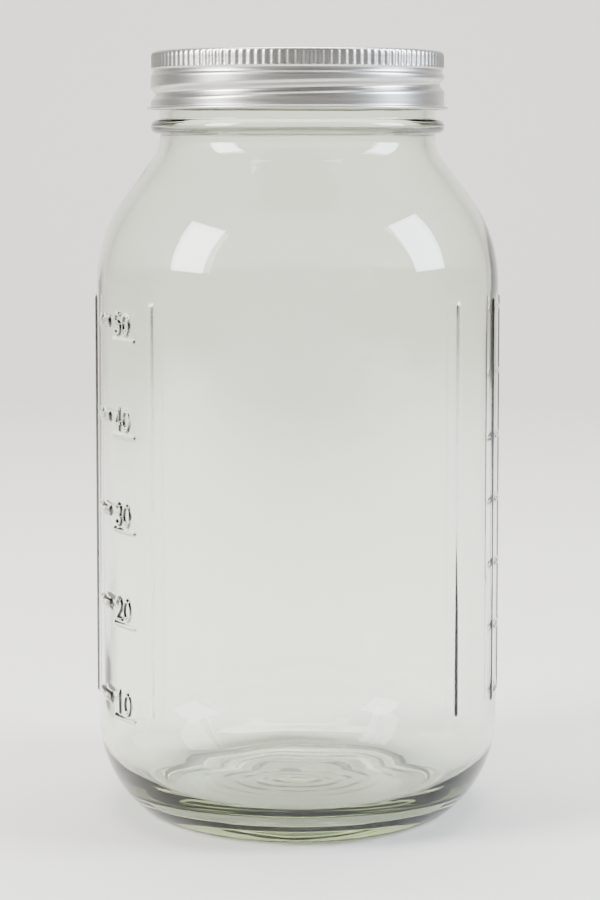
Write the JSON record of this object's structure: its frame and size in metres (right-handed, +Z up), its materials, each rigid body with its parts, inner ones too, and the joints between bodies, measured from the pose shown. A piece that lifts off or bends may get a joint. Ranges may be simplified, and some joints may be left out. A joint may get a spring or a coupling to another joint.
{
  "type": "wide-mouth preserving jar",
  "caption": "Tall clear glass jar with a threaded wide mouth, closed by a flat metal lid under a screw band, with measuring marks raised on its sides.",
  "frame": {"origin": "middle of the ring that the jar stands on, on the surface under it", "axes": "+Z up along the jar's axis; -Y is the front as pictured; +X to the right"},
  "size_m": [0.1227, 0.122, 0.2298],
  "materials": {
    "clear_glass": "clear pressed glass, faintly yellow-green at its thick edges",
    "lid_steel": "satin tinned steel",
    "sealing_compound": "matt moulded sealing compound",
    "band_steel": "satin tinned steel, finely grained, with a shiny rolled hem"
  },
  "bodies": {
    "jar": {"glass_jar": "clear_glass"},
    "lid": {"flat_lid": "lid_steel", "sealing_ring": "sealing_compound"},
    "band": {"screw_band": "band_steel"}
  },
  "joints": [
    {"name": "closure_lift", "type": "slide", "parent": "jar", "child": "lid", "axis": [0, 0, 1], "range_m": [0, 0.032]},
    {"name": "band_turn", "type": "hinge", "parent": "lid", "child": "band", "pos_m": [0, 0, 0.22], "axis": [0, 0, 1], "range_deg": [0, 1800]}
  ],
  "couplings": [
    {"joint": "closure_lift", "follows": "band_turn", "m_per_rad": 0.0010106}
  ]
}
